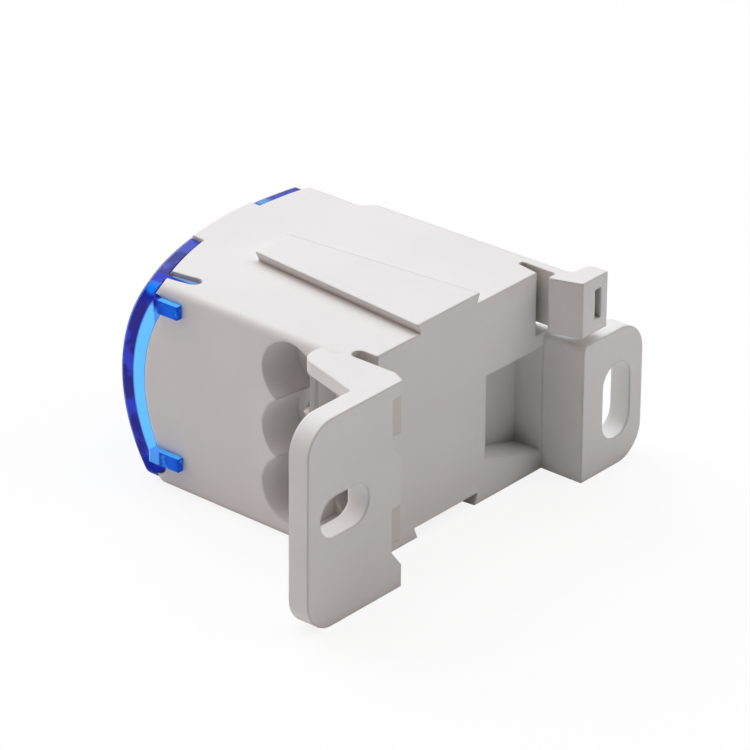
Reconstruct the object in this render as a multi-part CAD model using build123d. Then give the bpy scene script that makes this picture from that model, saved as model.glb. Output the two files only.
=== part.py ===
from build123d import *
import math
import os

# Power distribution terminal block for a 35 mm top-hat rail: one line wire in, six load wires out.
# The block lies on its flat side, as it does on a bench.
# X runs across the rail, from the fixed hooks to the spring latch.
# Y runs from the rail's front face out to the lid. Z runs along the rail.
# The origin is the middle of the seat on the rail's front face. Sizes are in millimetres.

# Rail, its seat and the wall behind it
RAIL_WIDTH = 35.0
RAIL_GAP = 0.1
FLANGE = 1.5
FLANGE_GAP = 0.55
WALL_DEPTH = 6.64

# Housing outside
HOOK_WALL = 1.3
LATCH_WALL = 1.45
DRAFT = 0.022
SHOULDER_Y = 28.8
SHOULDER_STEP = 1.65
NEAR_EDGE_ROUND = 1.3
SIDE_WALL = 1.9
END_WALL = 1.55

# Load wires: two rows of three
LOAD_PITCH = 8.2
LOAD_BORE_R = 2.5
REAR_ROW_Y = 4.75
ROW_STEP = 7.15
BORE_FLOOR = 0.9
BORE_END = 0.8

# Line wire
LINE_BORE_R = 3.6
LINE_Y = 10.8
LINE_FLOOR = 1.2

# Bar; its core sits off the housing's middle because of the deep dovetail groove
CORE_Z = 0.7
CORE_GAP = 0.15
BAR_SIDE = 0.7
ENTRY_LENGTH = 8.9
FRONT_STEP = 6.8
REAR_STEP = 7.7
LINE_STEP = 9.7
THREAD_LENGTH = 5.0

# Wire entries
ENTRY_GAP = 0.2
FUNNEL_R = 4.7
FUNNEL_DEPTH = 7.0
FUNNEL_TAPER = 0.4
ROW_WALL = 1.05
REAR_RECESS_Y = 2.0
REAR_RECESS_EDGE = 0.3
REAR_RECESS_DEPTH = 3.9
LINE_FUNNEL_R = 6.2
LINE_NECK = 1.6

# Clamp screws
LOAD_SCREW_R = 2.5
LOAD_HEAD_R = 2.9
LOAD_HEAD_HEIGHT = 2.4
LOAD_DOG_R = 1.5
LINE_SCREW_R = 4.0
LINE_HEAD_R = 4.4
LINE_HEAD_HEIGHT = 3.2
LINE_DOG_R = 2.4
SCREW_CLEARANCE = 0.05
DRIVE_SLOT_WIDTH = 0.9
DRIVE_SLOT_DEPTH = 1.2
DRIVE_RIM = 1.1
HEAD_EDGE = 0.3
HEAD_GAP = 0.1
TIP_GAP = 0.1
TIP_REST = 0.1

# Deck that covers the bar, with a well over each screw
DECK_TOP = 31.5
DECK_PLATE = 2.0
DECK_LEDGE = 0.3
DECK_FIT = 0.1
TRAY_GAP = 0.05
WELL_GAP = 0.15
WELL_WALL = 0.9
WELL_LAP = 0.5

# Domed front, shared by the lid and the housing's raised cheeks
FRONT_X = 6.2
FRONT_Y = 42.16
FRONT_RADIUS = 54.0
ARCH_RADIUS = 25.4

# Lid
LID_WALL = 1.8
LID_INSET = 0.5
LID_GAP = 0.1
LID_RIM_DROP = 4.46
LID_FAR_GAP = 0.37
LID_CORNER_ROUND = 1.2
SIDE_SKIRT = 1.5
END_SKIRT = 3.5
END_SKIRT_INSET = 1.6
END_SKIRT_ROUND = 1.4
END_SKIRT_WALL = 1.5
THIN_LIP = 1.2
CHEEK_RADIUS = 19.9
CHEEK_FAR_X = 8.2
CHEEK_GAP = 0.15
LEG_SETBACK = 4.3
LEG_WIDTH = 1.7
LEG_THICK = 0.8
LEG_GAP = 0.15
LEG_DROP = 11.5
LEG_ROOT_DROP = 5.86
CATCH_WIDTH = 1.9
CATCH_THICK = 0.9
CATCH_ROOT = 0.5
CATCH_FACE_GAP = 0.06
CATCH_DROP = 11.7
CATCH_INSET = 1.0
CATCH_SHIFT = 0.9

# Lid hinge: pins on the lid's knuckles, in holes of the housing's cheeks
HINGE_INSET = 1.37
HINGE_DROP = 4.16
HINGE_PIN_R = 0.9
HINGE_PIN_LENGTH = 1.1
HINGE_PIN_GAP = 0.1
HINGE_CLEARANCE = 0.05
KNUCKLE_R = 1.4
KNUCKLE_WIDTH = 1.3
KNUCKLE_GAP = 0.2
SWING_ROUND = 1.6
SWING_GAP = 0.5

# Near ear and its hooks
EAR_THICK = 3.1
EAR_ROUND = 4.6
NEAR_EAR_REACH = 17.76
SLOT_WIDTH = 5.7
NEAR_SLOT_EDGE = 7.01
NEAR_SLOT_LENGTH = 9.3
NEAR_SLOT_Z = 0.65
GUSSET = 1.8
GUSSET_TOP = 7.05
GUSSET_HEAD = 2.95
GUSSET_FOOT = 6.2
GUSSET_ROUND = 2.5
GUSSET_LAP = 0.6
HOOK_LIP = 1.5
HOOK_LIP_BACK = 2.0
HOOK_LIP_EDGE = 0.4
HOOK_LENGTH = 6.2
HOOK_END_GAP = 0.5
HOOK_INSET = 2.0
HOOK_PITCH = 15.3
HOOK_LEAD = 1.05
HOOK_LEAD_LENGTH = 2.0
NOTCH_DEPTH = 1.9
NOTCH_RAMP = 2.4
RELIEF_WIDTH = 1.94
RELIEF_DEPTH = 3.1
RELIEF_LENGTH = 2.5

# Far ear and its wall
FAR_EAR_REACH = 12.4
FAR_EAR_GAP = 0.4
FAR_EAR_HEIGHT = 19.7
FAR_EAR_EDGE = 0.9
FAR_EAR_BEND = 3.0
FAR_WALL = 1.9
FAR_WALL_TOP = 2.0
FAR_WALL_BLEND = 5.0
FAR_SLOT_EDGE = 5.35
FAR_SLOT_HEIGHT = 9.45
FAR_SLOT_LENGTH = 10.9

# Spring latch
LATCH_EAR_GAP = 1.5
LATCH_ROOT_Y = 3.5
LATCH_SLIT = 1.4
LATCH_SLIT_ROOT = 0.9
LATCH_CUT = 0.3
LATCH_CORNER = 0.3
LATCH_NOSE = 1.5
LATCH_NOSE_FLAT = 0.45
LATCH_TIP = 0.15
LATCH_LUG = 3.45
LATCH_LUG_THICK = 3.1
LATCH_LUG_ROUND = 1.3
LATCH_BEND = 1.2
TOOL_SLOT_WIDTH = 1.25
TOOL_SLOT_LENGTH = 4.3
TOOL_SLOT_DEPTH = 1.5
TOOL_SLOT_SETBACK = 0.9

# Dovetails that join neighbouring blocks, and the pocket in the back
DOVETAIL_X = -1.56
DOVETAIL_WIDTH = 11.0
DOVETAIL_TAPER = 0.094
DOVETAIL_LENGTH = 29.4
DOVETAIL_HEIGHT = 1.4
DOVETAIL_UNDERCUT = 0.7
DOVETAIL_GAP = 0.2
POCKET_WALL = 1.35
POCKET_LENGTH = 11.5
POCKET_LIFT = 2.7
POCKET_WIDTH = 15.2
POCKET_RAMP = 3.2
POCKET_DEPTH = 4.3

# How far a cutter runs past the face that it opens, and a piece into the one that it joins
CUT = 1.0
LAP = 0.2
FAR_OUT = 60.0

# Two places closer than this count as one
SAME = 0.05

# Places across the rail
NEAR_STOP = -RAIL_WIDTH / 2
FAR_STOP = RAIL_WIDTH / 2 + RAIL_GAP
NEAR_X = NEAR_STOP - HOOK_WALL
FAR_X = FAR_STOP + LATCH_WALL
FAR_TOP_X = FAR_X - DRAFT * SHOULDER_Y - SHOULDER_STEP
NEAR_EAR_X = NEAR_X - NEAR_EAR_REACH
NEAR_SLOT_X = NEAR_EAR_X + NEAR_SLOT_EDGE
RELIEF_END_X = NEAR_STOP + RELIEF_WIDTH
FAR_EAR_INNER_X = FAR_STOP + FAR_EAR_GAP
FAR_EAR_X = FAR_EAR_INNER_X + FAR_EAR_REACH
FAR_SLOT_X = FAR_EAR_X - FAR_SLOT_EDGE
BAR_NEAR_X = NEAR_X + ENTRY_LENGTH
REAR_STEP_X = BAR_NEAR_X + FRONT_STEP
LINE_STEP_X = REAR_STEP_X + REAR_STEP
BAR_FAR_X = LINE_STEP_X + LINE_STEP
FRONT_SCREW_X = (BAR_NEAR_X + REAR_STEP_X) / 2
REAR_SCREW_X = (REAR_STEP_X + LINE_STEP_X) / 2
LINE_SCREW_X = (LINE_STEP_X + BAR_FAR_X) / 2

# Places along the rail
CORE_HALF = LOAD_PITCH + LOAD_BORE_R + BAR_SIDE
INNER_HALF = CORE_Z + CORE_HALF + CORE_GAP + DECK_LEDGE + TRAY_GAP
HALF = INNER_HALF + SIDE_WALL
LID_HALF = HALF - LID_INSET
END_SKIRT_HALF = HALF - END_SKIRT_INSET
FAR_EAR_TOP = -HALF + FAR_EAR_HEIGHT
FAR_SLOT_Z = -HALF + FAR_SLOT_HEIGHT
LATCH_LOW = FAR_EAR_TOP + LATCH_EAR_GAP
LOAD_ROWS = [CORE_Z + n * LOAD_PITCH for n in (1, 0, -1)]
HOOK_TOPS = [HALF - HOOK_INSET - n * HOOK_PITCH for n in (0, 1)]

# Places out from the rail
WALL_BACK = -WALL_DEPTH
EAR_FRONT = WALL_BACK + EAR_THICK
GRIP_Y = -FLANGE - FLANGE_GAP
FRONT_ROW_Y = REAR_ROW_Y + ROW_STEP
ROW_WALL_FRONT = REAR_ROW_Y + LOAD_BORE_R + ENTRY_GAP + ROW_WALL
BAR_BACK_Y = REAR_ROW_Y - LOAD_BORE_R - BORE_FLOOR
BAR_UNDER_Y = LINE_Y - LINE_BORE_R - LINE_FLOOR
FRONT_BAR_TOP = FRONT_ROW_Y + LOAD_BORE_R + THREAD_LENGTH
REAR_BAR_TOP = REAR_ROW_Y + LOAD_BORE_R + THREAD_LENGTH
LINE_BAR_TOP = LINE_Y + LINE_BORE_R + THREAD_LENGTH

# The dome's centres, and the lid's places on it
FRONT_CENTRE_Y = FRONT_Y - FRONT_RADIUS
ARCH_CENTRE = FRONT_RADIUS - math.sqrt(ARCH_RADIUS**2 - LID_HALF**2)
LID_NEAR_X = NEAR_X + DRAFT * (FRONT_Y - LID_RIM_DROP)
LID_FAR_X = FAR_TOP_X - LID_FAR_GAP
HINGE_X = FAR_TOP_X - HINGE_INSET
HINGE_Y = FRONT_Y - HINGE_DROP
LEG_X = NEAR_X + LEG_SETBACK
LEG_TIP_Y = FRONT_Y - LEG_DROP
CATCH_TIP_Y = FRONT_Y - CATCH_DROP


def same(one, other):
    """Whether two places count as one."""
    return abs(one - other) < SAME


def block(x0, x1, y0, y1, z0, z1):
    """A box given by its limits."""
    middle = ((x0 + x1) / 2, (y0 + y1) / 2, (z0 + z1) / 2)
    return Pos(*middle) * Box(abs(x1 - x0), abs(y1 - y0), abs(z1 - z0))


def slab(points, z0, z1):
    """A plate along Z whose outline is drawn in X and Y."""
    outline = make_face(Polyline(*[Vector(x, y, z0) for x, y in points], close=True))
    return extrude(outline, amount=z1 - z0, dir=(0, 0, 1))


def pin_z(x, y, radius, z0, z1):
    """A round pin along Z."""
    return Pos(x, y, (z0 + z1) / 2) * Cylinder(radius, abs(z1 - z0))


def rod_y(x, z, radius, y0, y1):
    """A round rod along Y."""
    return Pos(x, (y0 + y1) / 2, z) * Rot(90, 0, 0) * Cylinder(radius, abs(y1 - y0))


def rod_x(y, z, radius, x0, x1):
    """A round rod along X."""
    return Pos((x0 + x1) / 2, y, z) * Rot(0, 90, 0) * Cylinder(radius, abs(x1 - x0))


def cone_x(y, z, radius_0, radius_1, x0, x1):
    """A cone along X with its two end radii."""
    return Pos((x0 + x1) / 2, y, z) * Rot(0, 90, 0) * Cone(radius_0, radius_1, x1 - x0)


def ear_slot(x, z, length_x, length_z):
    """A round-ended slot through an ear."""
    turn = 0 if length_x > length_z else 90
    plane = Plane(origin=(x, WALL_BACK - CUT, z), x_dir=(1, 0, 0), z_dir=(0, 1, 0))
    shape = plane * Rot(0, 0, turn) * SlotOverall(max(length_x, length_z), min(length_x, length_z))
    return extrude(shape, amount=EAR_THICK + 2 * CUT, dir=(0, 1, 0))


def edges_at(shape, axis, x=None, z=None):
    """Edges along an axis whose middle lies at the given X or at the given Z, on either side."""
    found = shape.edges().filter_by(axis)
    if x is not None:
        found = found.filter_by(lambda edge: same(edge.center().X, x))
    if z is not None:
        found = found.filter_by(lambda edge: same(abs(edge.center().Z), z))
    return found


def turned_front(section):
    """A section, drawn as distance from the dome's axis and height along it, turned into the dome's space."""
    return Pos(FRONT_X, FRONT_CENTRE_Y, 0) * revolve(Plane.XZ * section, Axis.Z, 180)


def under_arch(drop):
    """Section of all that lies behind the front surface, lowered by drop."""
    disc = Pos(ARCH_CENTRE, 0) * Circle(ARCH_RADIUS - drop)
    strip = Pos(ARCH_CENTRE, 0) * Rectangle(2 * ARCH_RADIUS, 2 * HALF)
    bulk = Pos(ARCH_CENTRE / 2, 0) * Rectangle(ARCH_CENTRE, 2 * HALF)
    return (disc & strip) + bulk


def dome(drop):
    """Everything behind the domed front surface, lowered by drop along its normal."""
    return turned_front(under_arch(drop))


def above_dome(drop, x0, x1, z0, z1):
    """The space in front of the dropped dome, between the given limits."""
    return block(x0, x1, DECK_TOP - LEG_DROP, FAR_OUT, z0, z1) - dome(drop)


def dome_band(drop, x0, x1, z0, z1):
    """A strip of the front skin, drop deep, between the given limits."""
    return (dome(0) - dome(drop)) & block(x0, x1, 0, FAR_OUT, z0, z1)


def hinge_ring(inner, outer, z0, z1):
    """A ring round the hinge axis."""
    ring = pin_z(HINGE_X, HINGE_Y, outer, z0, z1)
    if inner:
        ring -= pin_z(HINGE_X, HINGE_Y, inner, z0, z1)
    return ring


def near_room(gap):
    """Space of the lid's rim and end skirt at the near end, grown by gap, with rounded inner corners."""
    limit = END_SKIRT_HALF + gap
    skirt_space = Pos(FAR_OUT / 2, 0) * Rectangle(FAR_OUT, 2 * limit) - under_arch(END_SKIRT + gap)
    reach = ARCH_CENTRE + math.sqrt((ARCH_RADIUS - END_SKIRT - gap) ** 2 - limit**2)
    corners = skirt_space.vertices().filter_by(lambda corner: same(corner.X, reach))
    skirt_space = fillet(corners, END_SKIRT_ROUND - gap)
    rim_space = Pos(FAR_OUT / 2, 0) * Rectangle(FAR_OUT, 2 * HALF) - under_arch(SIDE_SKIRT + gap)
    end = block(NEAR_X - CUT, LID_NEAR_X + END_SKIRT_WALL + gap, 0, FAR_OUT, -HALF, HALF)
    return turned_front(skirt_space + rim_space) & end


def skirt_edge_y(z):
    """Height of the end skirt's free edge on the lid's near face."""
    reach = ARCH_CENTRE + math.sqrt((ARCH_RADIUS - END_SKIRT) ** 2 - z**2)
    return FRONT_CENTRE_Y + math.sqrt(reach**2 - (LID_NEAR_X - FRONT_X) ** 2)


def side_leg(side, gap, depth):
    """A lid leg that lies in the housing's side, bent round the hinge axis so that it slides out freely."""
    middle_y = LEG_TIP_Y + LEG_WIDTH / 2
    radius = math.hypot(LEG_X - HINGE_X, middle_y - HINGE_Y)
    tip_angle = math.asin((HINGE_Y - middle_y) / radius)
    tip_x = HINGE_X - radius * math.cos(tip_angle)
    half = LEG_WIDTH / 2 + gap
    reach = 4 * LEG_WIDTH
    z0, z1 = sorted((side * (LID_HALF - LEG_THICK - gap), side * (LID_HALF + depth)))
    strip = hinge_ring(radius - half, radius + half, z0, z1)
    strip &= block(tip_x - reach, tip_x + reach, middle_y, middle_y + reach, z0, z1)
    return strip + pin_z(tip_x, middle_y, half, z0, z1)


def housing_shell():
    """Block of the housing with its drafted ends, shoulder and domed front."""
    outline = [
        (NEAR_X, 0),
        (FAR_X, 0),
        (FAR_X - DRAFT * SHOULDER_Y, SHOULDER_Y),
        (FAR_TOP_X, SHOULDER_Y + SHOULDER_STEP),
        (FAR_TOP_X, FAR_OUT),
        (NEAR_X + DRAFT * FAR_OUT, FAR_OUT),
    ]
    body = slab(outline, -HALF, HALF)
    long_edges = body.edges().filter_by(lambda edge: edge.length > FRONT_Y)
    near_edges = long_edges.filter_by(lambda edge: edge.center().X < 0)
    body = fillet(near_edges, NEAR_EDGE_ROUND)
    return body & dome(0)


def hinge_seat(side):
    """Room in one cheek for the lid's knuckle, its pin, its far corner as it swings, and its leg."""
    z0, z1 = sorted((side * (INNER_HALF - KNUCKLE_WIDTH - LID_GAP - KNUCKLE_GAP), side * INNER_HALF))
    room_x = HINGE_X - KNUCKLE_R - LID_WALL
    seat = block(room_x, FAR_OUT, HINGE_Y - KNUCKLE_R - KNUCKLE_GAP, FAR_OUT, z0, z1)
    z0, z1 = sorted((side * INNER_HALF, side * HALF))
    seat += block(HINGE_X, FAR_OUT, HINGE_Y, FAR_OUT, z0, z1) - hinge_ring(0, SWING_ROUND, -HALF, HALF)
    hole_end = side * (INNER_HALF + HINGE_PIN_LENGTH + HINGE_PIN_GAP)
    seat += pin_z(HINGE_X, HINGE_Y, HINGE_PIN_R + HINGE_CLEARANCE, side * INNER_HALF, hole_end)
    return seat + side_leg(side, LEG_GAP, LID_INSET + CUT)


def front_recess():
    """Seats cut for the lid's rims, the tray under the lid and the hinge's room."""
    near_rim = above_dome(SIDE_SKIRT + LID_GAP, NEAR_X - CUT, HINGE_X, -HALF, HALF)
    near_rim &= hinge_ring(CHEEK_RADIUS, FAR_OUT, -HALF, HALF)
    far_rim = above_dome(THIN_LIP + LID_GAP, CHEEK_FAR_X, FAR_X, -HALF, HALF)
    tray_x = NEAR_X + DRAFT * DECK_TOP + END_WALL
    tray = block(tray_x, FAR_TOP_X - END_WALL, DECK_TOP, FAR_OUT, -INNER_HALF, INNER_HALF)
    far_wall = above_dome(LID_WALL + SWING_GAP, HINGE_X - KNUCKLE_R, FAR_X, -INNER_HALF, INNER_HALF)
    seats = near_rim + near_room(LID_GAP) + far_rim + tray + far_wall
    return seats + hinge_seat(1) + hinge_seat(-1)


def core_space():
    """Shaft for the bar, with the rebate that carries the deck's plate."""
    z0 = CORE_Z - CORE_HALF - CORE_GAP
    z1 = CORE_Z + CORE_HALF + CORE_GAP
    x0 = BAR_NEAR_X - CORE_GAP
    x1 = BAR_FAR_X + CORE_GAP
    ledge = DECK_LEDGE
    shaft = block(x0, x1, BAR_UNDER_Y, DECK_TOP, z0, z1)
    shaft += block(x0, LINE_STEP_X + CORE_GAP, BAR_BACK_Y, DECK_TOP, z0, z1)
    return shaft + block(x0 - ledge, x1 + ledge, DECK_TOP - DECK_PLATE, DECK_TOP, z0 - ledge, z1 + ledge)


def load_funnel(z):
    """Front-row wire entry: a shallow taper that meets its neighbours, cut off by the wall between rows."""
    mouth_x = NEAR_X - LAP
    funnel = cone_x(FRONT_ROW_Y, z, FUNNEL_R, FUNNEL_R - FUNNEL_TAPER, mouth_x, mouth_x + FUNNEL_DEPTH)
    return funnel & block(mouth_x, 0, ROW_WALL_FRONT, FRONT_Y, -HALF, HALF)


def wire_entries():
    """Ways in to the bar's bores: front funnels, the rear row's shared recess, and the line's own funnel."""
    neck_r = LOAD_BORE_R + ENTRY_GAP
    recess_x = NEAR_X + REAR_RECESS_DEPTH
    recess_half = LOAD_PITCH + neck_r + REAR_RECESS_EDGE
    z0, z1 = CORE_Z - recess_half, CORE_Z + recess_half
    cut = block(NEAR_X - CUT, recess_x, REAR_RECESS_Y, REAR_ROW_Y + neck_r, z0, z1)
    for z in LOAD_ROWS:
        cut += load_funnel(z)
        cut += rod_x(FRONT_ROW_Y, z, neck_r, NEAR_X + FUNNEL_DEPTH - CUT, BAR_NEAR_X)
        cut += rod_x(REAR_ROW_Y, z, neck_r, recess_x, BAR_NEAR_X)
    neck_r = LINE_BORE_R + ENTRY_GAP
    neck_end = BAR_FAR_X + LINE_NECK
    cut += rod_x(LINE_Y, CORE_Z, neck_r, BAR_FAR_X, neck_end)
    return cut + cone_x(LINE_Y, CORE_Z, neck_r, LINE_FUNNEL_R, neck_end, FAR_X + LAP)


def dovetail(side, gap, length):
    """Tapered dovetail along Y: the tongue on the upper side face, or the groove's space in the lower one."""
    z_base = side * HALF - LAP
    z_crown = side * HALF + DOVETAIL_HEIGHT + gap
    faces = []
    for y in (0, length):
        base = DOVETAIL_WIDTH / 2 - DOVETAIL_TAPER * y + gap
        crown = base + DOVETAIL_UNDERCUT
        corners = [(-base, z_base), (base, z_base), (crown, z_crown), (-crown, z_crown)]
        faces.append(make_face(Polyline(*[(DOVETAIL_X + x, y, z) for x, z in corners], close=True)))
    return loft(faces)


def gusset(z0, z1):
    """Rib between the near ear and the housing, with a rounded head."""
    outline = [
        (NEAR_X, GUSSET_TOP),
        (NEAR_X - GUSSET_HEAD, GUSSET_TOP),
        (NEAR_X - GUSSET_FOOT, EAR_FRONT),
        (NEAR_X, EAR_FRONT),
    ]
    rib = slab(outline, z0, z1)
    rib = fillet(edges_at(rib, Axis.Z, x=NEAR_X - GUSSET_HEAD), GUSSET_ROUND)
    return rib + block(NEAR_X, NEAR_X + GUSSET_LAP, 0, GUSSET_TOP, z0, z1)


def hook_notch(top):
    """Window through the ear's inner edge behind one hook, with a ramp at its lower end."""
    bottom = top - HOOK_LENGTH
    foot_z = bottom - NOTCH_RAMP
    lead_x = NEAR_STOP - HOOK_LEAD
    left = lead_x - NOTCH_DEPTH
    right = NEAR_STOP + CUT
    outline = [(left, top), (right, top), (right, foot_z), (lead_x, foot_z), (left, bottom)]
    face = make_face(Polyline(*[(x, WALL_BACK - CUT, z) for x, z in outline], close=True))
    return extrude(face, amount=EAR_THICK + CUT, dir=(0, 1, 0))


def hook_lip(top):
    """Fixed hook that grips the rail's flange from behind."""
    tip = NEAR_STOP + HOOK_LIP
    root = NEAR_X - NOTCH_DEPTH
    back = WALL_BACK + HOOK_LIP_BACK
    outline = [
        (root, back),
        (tip - HOOK_LIP_EDGE, back),
        (tip, back + 2 * HOOK_LIP_EDGE),
        (tip, GRIP_Y),
        (NEAR_X, GRIP_Y),
        (root, EAR_FRONT),
    ]
    return slab(outline, top - HOOK_LENGTH - HOOK_END_GAP, top - HOOK_END_GAP)


def near_ear():
    """Slotted ear on the hook side, its two gussets and the wall that reaches round the rail."""
    plate = block(NEAR_EAR_X, NEAR_STOP, WALL_BACK, EAR_FRONT, -HALF, HALF)
    plate = fillet(edges_at(plate, Axis.Y, x=NEAR_EAR_X), EAR_ROUND)
    wall = block(NEAR_X, NEAR_STOP, WALL_BACK, RELIEF_DEPTH + CUT, -HALF, HALF)
    lead_end = (NEAR_STOP, WALL_BACK + HOOK_LEAD_LENGTH)
    lead = [lead_end, (NEAR_STOP - HOOK_LEAD, WALL_BACK), (NEAR_STOP, WALL_BACK)]
    ear = plate + wall + gusset(HALF - GUSSET, HALF) + gusset(-HALF, -HALF + GUSSET)
    ear -= slab(lead, -HALF, HALF)
    ear -= ear_slot(NEAR_SLOT_X, NEAR_SLOT_Z, NEAR_SLOT_LENGTH, SLOT_WIDTH)
    for top in HOOK_TOPS:
        ear = ear - hook_notch(top) + hook_lip(top)
    return ear


def far_ear():
    """Slotted ear on the latch side, with its wall down from the housing."""
    plate = block(FAR_EAR_INNER_X, FAR_EAR_X, WALL_BACK, EAR_FRONT, -HALF, FAR_EAR_TOP)
    plate = fillet(edges_at(plate, Axis.Y, x=FAR_EAR_X), EAR_ROUND)
    inner = FAR_EAR_INNER_X
    outer = inner + FAR_WALL
    outline = [
        (inner, WALL_BACK),
        (outer, WALL_BACK),
        (outer, FAR_WALL_TOP),
        (FAR_X - LAP, FAR_WALL_BLEND),
        (inner, FAR_WALL_BLEND),
    ]
    wall = slab(outline, -HALF, FAR_EAR_TOP)
    bend = FAR_EAR_BEND
    corner = block(outer - LAP, outer + bend, EAR_FRONT - LAP, EAR_FRONT + bend, -HALF, FAR_EAR_TOP)
    corner -= pin_z(outer + bend, EAR_FRONT + bend, bend, -HALF, FAR_EAR_TOP)
    ear = plate + wall + corner
    ear = fillet(edges_at(ear, Axis.Y, x=inner, z=FAR_EAR_TOP), FAR_EAR_EDGE)
    return ear - ear_slot(FAR_SLOT_X, FAR_SLOT_Z, SLOT_WIDTH, FAR_SLOT_LENGTH)


def latch_space():
    """Round-ended slit behind the latch arm, and the gap between the arm and the far ear."""
    low = FAR_EAR_TOP + LATCH_CUT
    radius = LATCH_SLIT_ROOT / 2
    root = LATCH_ROOT_Y - radius
    left = FAR_STOP - LATCH_SLIT
    slit = [(left, -CUT), (left, 0), (FAR_STOP - LATCH_SLIT_ROOT, root), (FAR_STOP, root), (FAR_STOP, -CUT)]
    space = slab(slit, low, HALF) + pin_z(FAR_STOP - radius, root, radius, low, HALF)
    return space + block(left, FAR_X + CUT, -CUT, LATCH_ROOT_Y, low, LATCH_LOW)


def latch():
    """Spring arm with the nose that snaps behind the rail, and its lug for a screwdriver."""
    nose_x = FAR_STOP - LATCH_NOSE
    arm = [
        (FAR_STOP, CUT),
        (FAR_STOP, GRIP_Y + LATCH_CORNER),
        (FAR_STOP - LATCH_CORNER, GRIP_Y),
        (nose_x, GRIP_Y),
        (nose_x, GRIP_Y - LATCH_NOSE_FLAT),
        (FAR_STOP - LATCH_TIP, WALL_BACK),
        (FAR_X, WALL_BACK),
        (FAR_X, CUT),
    ]
    lug_x = FAR_X + LATCH_LUG
    lug_front = WALL_BACK + LATCH_LUG_THICK
    lug = block(FAR_X - LAP, lug_x, WALL_BACK, lug_front, LATCH_LOW, HALF)
    outer = edges_at(lug, Axis.Z, x=lug_x).filter_by(lambda edge: edge.center().Y > WALL_BACK + LAP)
    lug = fillet(outer, LATCH_LUG_ROUND)
    bend = LATCH_BEND
    web = block(FAR_X - LAP, FAR_X + bend, lug_front - LAP, lug_front + bend, LATCH_LOW, HALF)
    web -= pin_z(FAR_X + bend, lug_front + bend, bend, LATCH_LOW, HALF)
    slot_x = FAR_X + TOOL_SLOT_SETBACK
    slot_z = (LATCH_LOW + HALF - TOOL_SLOT_LENGTH) / 2
    slot_end = slot_z + TOOL_SLOT_LENGTH
    slot_floor = WALL_BACK + TOOL_SLOT_DEPTH
    slot = block(slot_x, slot_x + TOOL_SLOT_WIDTH, WALL_BACK - CUT, slot_floor, slot_z, slot_end)
    return slab(arm, LATCH_LOW, HALF) + lug + web - slot


def relief_slots():
    """Round-ended slots beside the gussets, one at each end of the hook wall."""
    radius = RELIEF_WIDTH / 2
    floor = RELIEF_DEPTH - radius
    slots = block(NEAR_STOP, RELIEF_END_X, -CUT, floor, -HALF, HALF)
    slots += pin_z(NEAR_STOP + radius, floor, radius, -HALF, HALF)
    middle = HALF - RELIEF_LENGTH
    return slots - block(NEAR_X, 0, -2 * CUT, RELIEF_DEPTH + CUT, -middle, middle)


def back_pocket():
    """Moulded pocket in the back, beside the far wall, with a sloping lower side."""
    x1 = FAR_X - POCKET_WALL
    x0 = x1 - POCKET_LENGTH
    low = -HALF + POCKET_LIFT
    top = low + POCKET_WIDTH
    outline = [(x0, low + POCKET_RAMP), (x1, low), (x1, top), (x0, top)]
    face = make_face(Polyline(*[(x, -CUT, z) for x, z in outline], close=True))
    return extrude(face, amount=CUT + POCKET_DEPTH, dir=(0, 1, 0))


def housing():
    """The grey moulding: box, ears, hooks, latch and dovetails in one piece."""
    body = housing_shell() - latch_space()
    body = body + near_ear() + far_ear() + latch()
    body = body - relief_slots() - back_pocket()
    body = body + dovetail(1, 0, DOVETAIL_LENGTH)
    body = body - dovetail(-1, DOVETAIL_GAP, DOVETAIL_LENGTH + DOVETAIL_GAP)
    return body - core_space() - wire_entries() - front_recess()


def bar_profile():
    """Stepped outline of the bar: a tall step for each outer clamp and a low one between."""
    return [
        (BAR_NEAR_X, BAR_BACK_Y),
        (LINE_STEP_X, BAR_BACK_Y),
        (LINE_STEP_X, BAR_UNDER_Y),
        (BAR_FAR_X, BAR_UNDER_Y),
        (BAR_FAR_X, LINE_BAR_TOP),
        (LINE_STEP_X, LINE_BAR_TOP),
        (LINE_STEP_X, REAR_BAR_TOP),
        (REAR_STEP_X, REAR_BAR_TOP),
        (REAR_STEP_X, FRONT_BAR_TOP),
        (BAR_NEAR_X, FRONT_BAR_TOP),
    ]


def terminal_bar():
    """Tinned brass bar with six load bores, one line bore and a threaded hole over each."""
    bar = slab(bar_profile(), CORE_Z - CORE_HALF, CORE_Z + CORE_HALF)
    hole_r = LOAD_SCREW_R + SCREW_CLEARANCE
    for z in LOAD_ROWS:
        bar -= rod_x(FRONT_ROW_Y, z, LOAD_BORE_R, BAR_NEAR_X - CUT, REAR_STEP_X - BORE_END)
        bar -= rod_x(REAR_ROW_Y, z, LOAD_BORE_R, BAR_NEAR_X - CUT, LINE_STEP_X - BORE_END)
        bar -= rod_y(FRONT_SCREW_X, z, hole_r, FRONT_ROW_Y, FRONT_BAR_TOP + CUT)
        bar -= rod_y(REAR_SCREW_X, z, hole_r, REAR_ROW_Y, REAR_BAR_TOP + CUT)
    bar -= rod_x(LINE_Y, CORE_Z, LINE_BORE_R, LINE_STEP_X + BORE_END, BAR_FAR_X + CUT)
    return bar - rod_y(LINE_SCREW_X, CORE_Z, LINE_SCREW_R + SCREW_CLEARANCE, LINE_Y, LINE_BAR_TOP + CUT)


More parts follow.
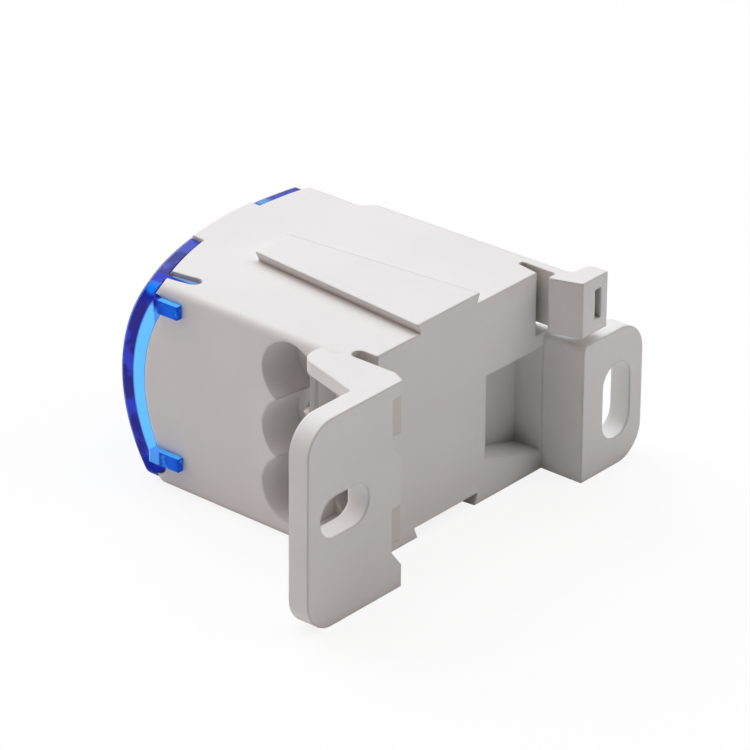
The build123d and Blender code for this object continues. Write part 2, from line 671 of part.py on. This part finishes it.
def clamp_screw(x, z, bore_y, bore_r, bar_top, radius, dog_r, head_r, head_height):
    """Slotted clamp screw with a dog point, backed out so that its tip clears the wire bore."""
    tip = bore_y + bore_r + TIP_GAP
    dog_reach = math.sqrt(bore_r**2 - dog_r**2)
    shank_reach = math.sqrt(max(bore_r**2 - radius**2, 0))
    travel = TIP_GAP + bore_r + dog_reach - TIP_REST
    shank = tip + dog_reach - shank_reach + TIP_GAP
    head = bar_top + travel + HEAD_GAP
    crown = head + head_height
    screw = rod_y(x, z, dog_r, tip, shank) + rod_y(x, z, radius, shank, head)
    screw += rod_y(x, z, head_r, head, crown)
    rings = screw.edges().filter_by(GeomType.CIRCLE).sort_by(Axis.Y)
    screw = chamfer([rings[0], rings[-1]], HEAD_EDGE)
    half = DRIVE_SLOT_WIDTH / 2
    cross = head_r - DRIVE_RIM
    floor = crown - DRIVE_SLOT_DEPTH
    screw -= block(x - head_r, x + head_r, floor, crown + CUT, z - half, z + half)
    return screw - block(x - half, x + half, floor, crown + CUT, z - cross, z + cross)


def load_screw(x, z, row_y, bar_top):
    """One of the six load clamps."""
    sizes = (LOAD_SCREW_R, LOAD_DOG_R, LOAD_HEAD_R, LOAD_HEAD_HEIGHT)
    return clamp_screw(x, z, row_y, LOAD_BORE_R, bar_top, *sizes)


def line_screw():
    """The line clamp."""
    sizes = (LINE_SCREW_R, LINE_DOG_R, LINE_HEAD_R, LINE_HEAD_HEIGHT)
    return clamp_screw(LINE_SCREW_X, CORE_Z, LINE_Y, LINE_BORE_R, LINE_BAR_TOP, *sizes)


def deck():
    """Inner cover of the bar: a plate with a tube round each screw."""
    side = CORE_GAP - DECK_FIT
    edge = side + DECK_LEDGE
    x0, x1 = BAR_NEAR_X - edge, BAR_FAR_X + edge
    z0, z1 = CORE_Z - CORE_HALF - edge, CORE_Z + CORE_HALF + edge
    piece = block(x0, x1, DECK_TOP - DECK_PLATE, DECK_TOP, z0, z1)
    load_well = LOAD_HEAD_R + WELL_GAP
    line_well = LINE_HEAD_R + WELL_GAP
    wells = [(FRONT_SCREW_X, z, load_well, FRONT_BAR_TOP) for z in LOAD_ROWS]
    wells += [(REAR_SCREW_X, z, load_well, REAR_BAR_TOP) for z in LOAD_ROWS]
    wells += [(LINE_SCREW_X, CORE_Z, line_well, LINE_BAR_TOP)]
    room = block(BAR_NEAR_X - side, BAR_FAR_X + side, 0, DECK_TOP, z0 + DECK_LEDGE, z1 - DECK_LEDGE)
    room -= slab(bar_profile(), -HALF, HALF)
    for x, z, radius, floor in wells:
        piece += rod_y(x, z, radius + WELL_WALL, floor, DECK_TOP - WELL_LAP) & room
    for x, z, radius, floor in wells:
        piece -= rod_y(x, z, radius, floor - CUT, DECK_TOP + CUT)
    return piece


def end_catch(z):
    """Catch that hangs in front of the near end, with its root on the end skirt."""
    z0, z1 = z - CATCH_WIDTH / 2, z + CATCH_WIDTH / 2
    top = skirt_edge_y(min(abs(z0), abs(z1))) + CATCH_ROOT
    face_x = NEAR_X + DRAFT * CATCH_TIP_Y - CATCH_FACE_GAP
    hook = block(face_x - CATCH_THICK, face_x, CATCH_TIP_Y, top, z0, z1)
    root = block(face_x - CATCH_THICK, LID_NEAR_X + CATCH_ROOT, CATCH_TIP_Y, top, z0, z1)
    return hook + (root & near_room(0))


def lid_skin():
    """Domed skin of the lid with its side rims, thin far lips and end skirt."""
    core_half = INNER_HALF - LID_GAP
    skin = dome_band(LID_WALL, LID_NEAR_X, LID_FAR_X, -core_half, core_half)
    between = block(LID_NEAR_X - CUT, LID_FAR_X, 0, FAR_OUT, -core_half + LAP, core_half - LAP)
    near_rims = dome_band(SIDE_SKIRT, LID_NEAR_X, HINGE_X, -LID_HALF, LID_HALF) - between
    skin += near_rims & hinge_ring(CHEEK_RADIUS + CHEEK_GAP, FAR_OUT, -HALF, HALF)
    skin += dome_band(THIN_LIP, CHEEK_FAR_X + CHEEK_GAP, LID_FAR_X, -LID_HALF, LID_HALF) - between
    skin += near_room(0) & dome(0) & block(LID_NEAR_X, 0, 0, FAR_OUT, -LID_HALF, LID_HALF)
    near_edges = skin.edges().filter_by(lambda edge: same(edge.center().X, LID_NEAR_X))
    corners = near_edges.filter_by(lambda edge: same(abs(edge.center().Z), LID_HALF))
    return fillet(corners, LID_CORNER_ROUND)


def knuckle(side):
    """Hinge knuckle under one far corner of the lid, with its pin."""
    inside = INNER_HALF - LID_GAP
    z0, z1 = sorted((side * (inside - KNUCKLE_WIDTH), side * inside))
    barrel = pin_z(HINGE_X, HINGE_Y, KNUCKLE_R, z0, z1)
    barrel += block(HINGE_X - KNUCKLE_R, LID_FAR_X, HINGE_Y, FAR_OUT, z0, z1) & dome(0)
    pin_end = side * (INNER_HALF + HINGE_PIN_LENGTH - HINGE_PIN_GAP)
    return barrel + pin_z(HINGE_X, HINGE_Y, HINGE_PIN_R, side * (inside - KNUCKLE_WIDTH / 2), pin_end)


def lid():
    """Clear blue cover: domed skin, skirts, near-end catches, side legs and hinge knuckles with pins."""
    cover = lid_skin()
    leg_room = block(LEG_X - 2 * LEG_WIDTH, LEG_X + 2 * LEG_WIDTH, 0, FRONT_Y - LEG_ROOT_DROP, -HALF, HALF)
    catch_z = END_SKIRT_HALF - CATCH_INSET - CATCH_WIDTH / 2
    for side in (-1, 1):
        cover += side_leg(side, 0, 0) & leg_room
        cover += end_catch(CATCH_SHIFT + side * catch_z)
        cover += knuckle(side)
    return cover


def save(name, shape):
    """Write one node."""
    solids = shape.solids()
    print(name, len(solids), round(sum(solid.volume for solid in solids), 1))
    export_step(shape if len(solids) > 1 else solids[0], f"parts/{name}.step")


os.makedirs("parts", exist_ok=True)
save("housing", housing())
save("terminal_bar", terminal_bar())
save("deck", deck())
save("line_screw", line_screw())
for number, z in enumerate(LOAD_ROWS, 1):
    save(f"front_load_screw_{number}", load_screw(FRONT_SCREW_X, z, FRONT_ROW_Y, FRONT_BAR_TOP))
    save(f"rear_load_screw_{number}", load_screw(REAR_SCREW_X, z, REAR_ROW_Y, REAR_BAR_TOP))
save("lid", lid())
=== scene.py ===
import math

import bpy
from mathutils import Matrix

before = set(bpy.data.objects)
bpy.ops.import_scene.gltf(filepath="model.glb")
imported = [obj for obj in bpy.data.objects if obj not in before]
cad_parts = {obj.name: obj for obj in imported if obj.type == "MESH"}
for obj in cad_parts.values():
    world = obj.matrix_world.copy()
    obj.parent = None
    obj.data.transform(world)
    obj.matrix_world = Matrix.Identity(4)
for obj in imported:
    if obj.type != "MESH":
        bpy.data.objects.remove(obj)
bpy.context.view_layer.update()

MM = 0.001

# Domed front that the lid and the housing share, in the part's own frame
FRONT_X = 6.2 * MM
FRONT_RADIUS = 54.0 * MM
FRONT_SIDE_Y = 42.16 * MM
FRONT_CENTRE_Y = FRONT_SIDE_Y - FRONT_RADIUS
ARCH_RADIUS = 25.4 * MM
ARCH_HALF_WIDTH = 14.0 * MM
ARCH_CENTRE = FRONT_RADIUS - math.sqrt(ARCH_RADIUS**2 - ARCH_HALF_WIDTH**2)
LID_WALL = 1.8 * MM
LID_NEAR_X = -17.97 * MM
LEG_X = -14.6 * MM
# Centre of the painted highlight spot on the lid's near upper corner
CORNER_GLINT_SPOT = (-17.9 * MM, 35.9 * MM, 13.6 * MM)
FLOOR_Z = -14.5 * MM
FLOOR_SIZE = 4.0

# Photograph's camera, fitted to the part: right, down and forward, and the lens's place
CAMERA_RIGHT = (0.64424, -0.76479, 0.00711)
CAMERA_DOWN = (-0.34089, -0.29545, -0.89247)
CAMERA_FORWARD = (0.68465, 0.57254, -0.45105)
CAMERA_PLACE = (-0.51109, -0.41400, 0.33826)
FOCAL_PIXELS = 5793.1
PHOTO_WIDTH = 750
SENSOR_MM = 36.0

# Soft lamps round the part: name, bearing from +X towards +Y and height in degrees, strength, colour
LAMPS = (
    ("lamp_overhead", 0, 90, 0.70, (0.85, 1.00, 0.97)),
    ("lamp_far_corner", 45, 48, 0.70, (0.75, 0.87, 1.00)),
    ("lamp_front", 90, 48, 1.07, (0.98, 0.96, 1.00)),
    ("lamp_front_low", 90, 12, 1.26, (1.00, 0.94, 0.95)),
    ("lamp_near_corner", 157, 48, 0.42, (1.00, 0.68, 0.60)),
    ("lamp_back", 315, 48, 0.97, (1.00, 0.88, 0.86)),
)
LAMP_SPREAD = 50  # degrees of sky that each lamp fills

# Finish of the mouldings and of the plated metal
GRAIN_DEPTH = 0.006 * MM
TOOL_MARK_DEPTH = 0.004 * MM
RIPPLE_DEPTH = 0.05 * MM
MOULDING_EDGE = 0.5 * MM
METAL_EDGE = 0.12 * MM
LID_EDGE = 0.2 * MM
# Painted shade: corners and recesses darken where walls stand within this reach
CORNER_REACH = 3.0 * MM  # how far a recess looks for the wall opposite
LID_IOR = 1.49

# Colours
MOULDING_GREY = (0.800, 0.785, 0.775)
MOULDING_SHADE = (0.765, 0.750, 0.742)
# Painted shade for corners and recesses
PAINTED_CORNER_SHADE = (0.46, 0.43, 0.39)
# Painted shade on the hook grips and on the front edge of the wall between the wire rows, in mm: low corner,
# high corner, tone
PAINTED_SHADE_BOXES = (
    ((-19.0, -4.7, -14.2), (-16.2, -4.5, 13.9), (0.69, 0.64, 0.60)),
    ((-19.0, 7.5, -10.0), (-18.2, 8.6, 11.4), (0.42, 0.41, 0.39)),
)
SHADE_FADE = 0.1
DECK_GREY = (0.62, 0.61, 0.60)
DECK_SHADE = (0.56, 0.55, 0.54)
TIN = (0.80, 0.78, 0.73)
TIN_DULL = (0.62, 0.60, 0.56)
ZINC = (0.78, 0.79, 0.80)
ZINC_DULL = (0.60, 0.62, 0.65)
WHITE = (1.0, 1.0, 1.0)
FLOOR_GLOW = 0.86
FLOOR_PALE = (0.87, 0.87, 0.87)
FLOOR_SHADE = (0.85, 0.85, 0.85)
SKIN_BLUE = (0.13, 0.28, 0.93)
# Lid edge colours: the moulding's own blue, with painted light and shade laid on it in darker and brighter
# blues and pale cyan
INDIGO = (0.035, 0.030, 0.42)
ROYAL_BLUE = (0.05, 0.08, 0.90)
RIM_BLUE = (0.045, 0.070, 0.52)
RIM_DARK = (0.022, 0.020, 0.26)
DEEP_BLUE = (0.002, 0.018, 0.55)
MID_BLUE = (0.004, 0.06, 0.62)
BRIGHT_BLUE = (0.005, 0.13, 0.85)
PALE_CYAN = (0.11, 0.44, 0.92)
SLATE_BLUE = (0.06, 0.075, 0.19)
CLOUDED_BLUE = (0.16, 0.30, 0.48)

# Painted glow: light gathered by the clear moulding, painted as emission where it leaves at an edge
NO_GLOW = (0.0, 0.0, 0.0)
SKIRT_GLOW = (0.07, 0.29, 0.55)
CORNER_GLOW = (0.0, 0.12, 0.48)
CATCH_GLOW = (0.0, 0.03, 0.16)
CATCH_GLINT = (0.02, 0.18, 0.42)
LEG_GLOW = (0.03, 0.06, 0.10)


class Field:
    """A shader socket that does arithmetic; each operation adds its Math node."""

    def __init__(self, paint, socket):
        self.paint = paint
        self.socket = socket

    def math(self, operation, *others):
        return self.paint.node("ShaderNodeMath", [self, *others], operation=operation)

    def __add__(self, other):
        return self.math("ADD", other)

    __radd__ = __add__

    def __mul__(self, other):
        return self.math("MULTIPLY", other)

    __rmul__ = __mul__

    def __sub__(self, other):
        return self.math("SUBTRACT", other)

    def __rsub__(self, other):
        return self.paint.node("ShaderNodeMath", [other, self], operation="SUBTRACT")

    def __abs__(self):
        return self.math("ABSOLUTE")

    def __gt__(self, other):
        return self.math("GREATER_THAN", other)

    def __lt__(self, other):
        return self.math("LESS_THAN", other)

    def root(self):
        return self.math("SQRT")

    def step(self, low, high):
        """0 below low, 1 above high and a soft change between them."""
        return self.paint.node(
            "ShaderNodeMapRange",
            {"Value": self, "From Min": low, "From Max": high},
            interpolation_type="SMOOTHSTEP",
            output="Result",
        )


class Paint:
    """The node tree of a material or of the world, with one method for any node."""

    def __init__(self, owner):
        self.owner = owner
        self.owner.use_nodes = True
        self.tree = self.owner.node_tree
        self.tree.nodes.clear()

    def node(self, kind, inputs=(), output=0, **settings):
        made = self.tree.nodes.new(kind)
        for setting, value in settings.items():
            setattr(made, setting, value)
        pairs = inputs.items() if isinstance(inputs, dict) else enumerate(inputs)
        for key, value in pairs:
            if isinstance(value, Field):
                self.tree.links.new(value.socket, made.inputs[key])
            else:
                made.inputs[key].default_value = value
        return Field(self, made.outputs[output]) if made.outputs else None

    def mix(self, factor, first, second):
        """Colour that goes from first to second."""
        made = {0: factor, 6: self.colour(first), 7: self.colour(second)}
        return self.node("ShaderNodeMix", made, output=2, data_type="RGBA")

    def colour(self, value):
        return value if isinstance(value, Field) else (*value, 1.0)

    def place(self):
        """The point's own X, Y and Z in the part's frame, and the point itself."""
        point = self.node("ShaderNodeTexCoord", output="Object")
        parts = [self.node("ShaderNodeSeparateXYZ", [point], output=axis) for axis in "XYZ"]
        return point, parts

    def noise(self, point, scale, detail=2.0, roughness=0.5):
        inputs = {"Vector": point, "Scale": scale, "Detail": detail, "Roughness": roughness}
        return self.node("ShaderNodeTexNoise", inputs, output="Fac")

    def bump(self, height, depth, normal=None):
        inputs = {"Height": height, "Distance": depth, "Strength": 1.0}
        if normal:
            inputs["Normal"] = normal
        return self.node("ShaderNodeBump", inputs)

    def seen(self):
        """1 where the camera, a reflection or a clear piece looks straight at the surface, else 0."""
        rays = ("Is Camera Ray", "Is Glossy Ray", "Is Transmission Ray")
        return sum(self.node("ShaderNodeLightPath", output=ray) for ray in rays) > 0.5

    def soft_edges(self, radius, samples=6):
        return self.node("ShaderNodeBevel", {"Radius": radius}, samples=samples)

    def principled(self, **sockets):
        named = {name.replace("_", " "): value for name, value in sockets.items()}
        for name in ("Base Color", "Emission Color"):
            if name in named:
                named[name] = self.colour(named[name])
        return self.node("ShaderNodeBsdfPrincipled", named)

    def finish(self, surface):
        self.node("ShaderNodeOutputMaterial", {"Surface": surface})
        return self.owner


def matt_moulding(name, light, dark, painted_shade=()):
    """Moulded polyamide: fine grain, faint flow clouds, softened edges, painted shade in corners and painted
    shade in listed places.
    """
    paint = Paint(bpy.data.materials.new(name))
    point, axes = paint.place()
    clouds = paint.noise(point, 55.0, 3.0, 0.6)
    speckle = paint.noise(point, 5200.0, 2.0, 0.7)
    grain = paint.noise(point, 3400.0, 3.0, 0.55)
    tone = (clouds * 0.7 + speckle * 0.3).step(0.35, 0.65)
    reach = {"Distance": CORNER_REACH}
    # Painted shade: the colour turns to a warm grey where ambient occlusion finds walls close by
    openness = paint.node("ShaderNodeAmbientOcclusion", reach, output="AO", samples=8)
    colour = paint.mix(tone, dark, light)
    colour = paint.mix(openness.step(0.0, 0.75), PAINTED_CORNER_SHADE, colour)
    # Painted shade: the colour turns to the listed darker tone inside each box
    for low, high, shade in painted_shade:
        inside = 1.0
        for axis, start, end in zip(axes, low, high):
            past_start = axis.step((start - SHADE_FADE) * MM, start * MM)
            past_end = axis.step(end * MM, (end + SHADE_FADE) * MM)
            inside = inside * past_start * (1.0 - past_end)
        colour = paint.mix(inside, colour, shade)
    surface = paint.principled(
        Base_Color=colour,
        Roughness=0.50 + 0.10 * speckle,
        Specular_IOR_Level=0.42,
        Normal=paint.bump(grain, GRAIN_DEPTH, paint.soft_edges(MOULDING_EDGE, 8)),
    )
    return paint.finish(surface)


def plated_metal(name, bright, dull, turned):
    """Plated metal with fine tool marks: rings on a turned screw head, straight strokes on the bar."""
    paint = Paint(bpy.data.materials.new(name))
    point, _ = paint.place()
    stretch = (1.0, 1.0, 40.0) if turned else (40.0, 2.0, 40.0)
    scaled = paint.node("ShaderNodeVectorMath", [point, stretch], operation="MULTIPLY")
    marks = paint.noise(scaled, 900.0, 3.0, 0.6)
    stain = paint.noise(point, 260.0, 3.0, 0.6)
    tone = stain.step(0.35, 0.7)
    edges = paint.soft_edges(METAL_EDGE, 4)
    surface = paint.principled(
        Base_Color=paint.mix(tone, bright, dull),
        Metallic=1.0,
        Roughness=0.24 + 0.18 * marks + 0.10 * tone,
        Normal=paint.bump(marks, TOOL_MARK_DEPTH, edges),
    )
    return paint.finish(surface)


def clear_blue_lid():
    """Clear deep-blue polycarbonate: a see-through skin, and edges with painted light, painted shade and a
    painted glow of gathered light.
    """
    paint = Paint(bpy.data.materials.new("clear_blue_polycarbonate"))
    point, (x, y, z) = paint.place()
    along = x - FRONT_X
    out = y - FRONT_CENTRE_Y
    reach = (along * along + out * out).root() - ARCH_CENTRE
    drop = ARCH_RADIUS - (reach * reach + z * z).root()
    side = abs(z)
    # drop is the depth below the domed skin; the zones below run from 0 outside to 1 inside
    streaks = paint.noise(point, 330.0, 2.0, 0.55)
    ripple = paint.noise(point, 140.0, 1.0, 0.4)

    end_face = 1.0 - x.step(LID_NEAR_X + 0.2 * MM, LID_NEAR_X + 1.7 * MM)
    rim = side.step(12.7 * MM, 13.1 * MM)
    below_skin = drop.step(0.08 * MM, 0.3 * MM)
    flank = rim * (1.0 - end_face)
    corner = (side.step(10.6 * MM, 12.2 * MM) * end_face).math("MAXIMUM", flank * (x < LEG_X))
    skirt = drop.step(LID_WALL - 0.15 * MM, LID_WALL + 0.2 * MM) * end_face
    catch = end_face * (1.0 - y.step(35.0 * MM, 35.5 * MM))
    root = catch * y.step(33.6 * MM, 34.0 * MM)
    leg = flank * (1.0 - y.step(35.0 * MM, 35.6 * MM)) * (x > LEG_X) * (x < 0.0)
    lip = rim * x.step(5.0 * MM, 6.0 * MM)
    lip_light = lip * x.step(8.8 * MM, 9.8 * MM) * (1.0 - x.step(10.2 * MM, 12.0 * MM))
    lip_end = lip * (1.0 - x.step(8.3 * MM, 9.2 * MM))
    # Painted glints: scattered patches of brighter blue on the near band and on the flanks
    glint_patches = streaks.step(0.46, 0.62)
    # Painted highlights: scattered glints, and catch faces that point upwards, made pale cyan
    glints = paint.noise(point, 620.0, 2.0, 0.6).step(0.54, 0.64)
    facing = paint.node("ShaderNodeNewGeometry", output="Normal")
    upward = paint.node("ShaderNodeSeparateXYZ", [facing], output="Z").step(0.3, 0.7)
    catch_light = (upward * 0.75).math("MAXIMUM", glints * 0.3)
    # Painted highlight: a bright spot round the lid's near upper corner
    glint_spot_gap = paint.node("ShaderNodeVectorMath", [point, CORNER_GLINT_SPOT], operation="DISTANCE", output="Value")
    glint_spot = 1.0 - glint_spot_gap.step(0.5 * MM, 1.4 * MM)

    # Painted light and shade: pale cyan on the skirt and on a band of the far lip, a lighter band on the
    # flanks, bright blue across the catches and the legs' clouded blue are painted highlights; deep blue at
    # the near corners and the catch roots and slate blue at the far lip's end are painted shade
    colour = paint.mix(glint_patches, INDIGO, ROYAL_BLUE)
    colour = paint.mix(flank, colour, paint.mix(glint_patches, RIM_DARK, RIM_BLUE))
    colour = paint.mix(flank * x.step(-9.0 * MM, -5.0 * MM) * (x < 0.0), colour, RIM_BLUE)
    colour = paint.mix(lip_light * 0.7, colour, PALE_CYAN)
    colour = paint.mix(lip_end, colour, SLATE_BLUE)
    colour = paint.mix(corner, colour, DEEP_BLUE)
    colour = paint.mix(glint_spot, colour, BRIGHT_BLUE)
    colour = paint.mix(skirt * (1.0 - corner), colour, PALE_CYAN)
    catch_tone = paint.mix(y.step(32.0 * MM, 33.4 * MM), BRIGHT_BLUE, MID_BLUE)
    catch_tone = paint.mix(y.step(30.5 * MM, 31.3 * MM), MID_BLUE, catch_tone)
    colour = paint.mix(catch, colour, paint.mix(catch_light, catch_tone, PALE_CYAN))
    colour = paint.mix(root, colour, DEEP_BLUE)
    colour = paint.mix(leg, colour, CLOUDED_BLUE)

    # Painted glow: the skirt, the corner spot, the catches and the legs give off light of their own
    glow = paint.mix(skirt * (1.0 - corner), NO_GLOW, SKIRT_GLOW)
    glow = paint.mix(glint_spot, glow, CORNER_GLOW)
    catch_glow = paint.mix(catch_light, CATCH_GLOW, CATCH_GLINT)
    glow = paint.mix(catch * (1.0 - root), glow, catch_glow)
    glow = paint.mix(leg, glow, LEG_GLOW)
    normal = paint.bump(ripple, RIPPLE_DEPTH, paint.soft_edges(LID_EDGE))
    clear = paint.principled(
        Base_Color=SKIN_BLUE,
        Roughness=0.05 + 0.04 * ripple,
        IOR=LID_IOR,
        Transmission_Weight=0.9,
        Normal=normal,
    )
    edge = paint.principled(
        Base_Color=colour,
        Roughness=0.16 + 0.10 * ripple,
        Specular_IOR_Level=0.08,
        Emission_Color=glow,
        Emission_Strength=1.0,
        Normal=normal,
    )
    seen_on_edge = end_face.math("MAXIMUM", rim) * below_skin
    surface = paint.node("ShaderNodeMixShader", [seen_on_edge, clear, edge])
    return paint.finish(surface)


def dress(node, material):
    """Gives a CAD node its finish."""
    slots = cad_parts[node].data.materials
    slots.clear()
    slots.append(material)


def studio():
    """Pale floor that keeps the shadow, white surroundings, and wide soft sun lamps from six sides."""
    bpy.ops.mesh.primitive_plane_add(size=FLOOR_SIZE, location=(0.0, 0.0, FLOOR_Z))
    floor = bpy.context.object
    floor.name = "studio_floor"
    paint = Paint(bpy.data.materials.new("pale_floor"))
    seen = paint.seen()
    mottle = paint.noise(paint.place()[0], 4.0).step(0.2, 0.8)
    colour = paint.mix(seen, paint.mix(mottle, FLOOR_SHADE, FLOOR_PALE), WHITE)
    matt = paint.node("ShaderNodeBsdfDiffuse", {"Color": colour})
    glow = paint.node("ShaderNodeEmission", {"Color": paint.colour(WHITE), "Strength": 1.0})
    surface = paint.node("ShaderNodeMixShader", [seen * FLOOR_GLOW, matt, glow])
    paint.node("ShaderNodeOutputMaterial", {"Surface": surface})
    floor.data.materials.append(paint.owner)

    room = Paint(bpy.data.worlds.new("white_room"))
    surface = room.node("ShaderNodeBackground", {"Color": room.colour(WHITE), "Strength": room.seen()})
    room.node("ShaderNodeOutputWorld", {"Surface": surface})
    bpy.context.scene.world = room.owner

    for name, bearing, height, strength, colour in LAMPS:
        lamp = bpy.data.lights.new(name, "SUN")
        lamp.energy = strength
        lamp.color = colour
        lamp.angle = math.radians(LAMP_SPREAD)
        holder = bpy.data.objects.new(name, lamp)
        bpy.context.scene.collection.objects.link(holder)
        holder.rotation_euler = (math.radians(90 - height), 0.0, math.radians(bearing + 90))


def photo_camera():
    """Camera at the photograph's place and lens."""
    lens = bpy.data.cameras.new("photo_camera")
    lens.sensor_width = SENSOR_MM
    lens.lens = FOCAL_PIXELS / PHOTO_WIDTH * SENSOR_MM
    lens.clip_start = 0.05
    lens.clip_end = 10.0
    camera = bpy.data.objects.new("photo_camera", lens)
    bpy.context.scene.collection.objects.link(camera)
    up = [-v for v in CAMERA_DOWN]
    back = [-v for v in CAMERA_FORWARD]
    turned = Matrix((CAMERA_RIGHT, up, back)).transposed().to_4x4()
    camera.matrix_world = Matrix.Translation(CAMERA_PLACE) @ turned
    bpy.context.scene.camera = camera


bpy.context.scene.view_settings.view_transform = "Standard"

dress("housing", matt_moulding("grey_polyamide", MOULDING_GREY, MOULDING_SHADE, PAINTED_SHADE_BOXES))
dress("deck", matt_moulding("inner_polyamide", DECK_GREY, DECK_SHADE))
screw_finish = plated_metal("zinc_plate", ZINC, ZINC_DULL, turned=True)
dress("terminal_bar", plated_metal("tin_plate", TIN, TIN_DULL, turned=False))
dress("lid", clear_blue_lid())
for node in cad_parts:
    if "_screw" in node:
        dress(node, screw_finish)

studio()
photo_camera()
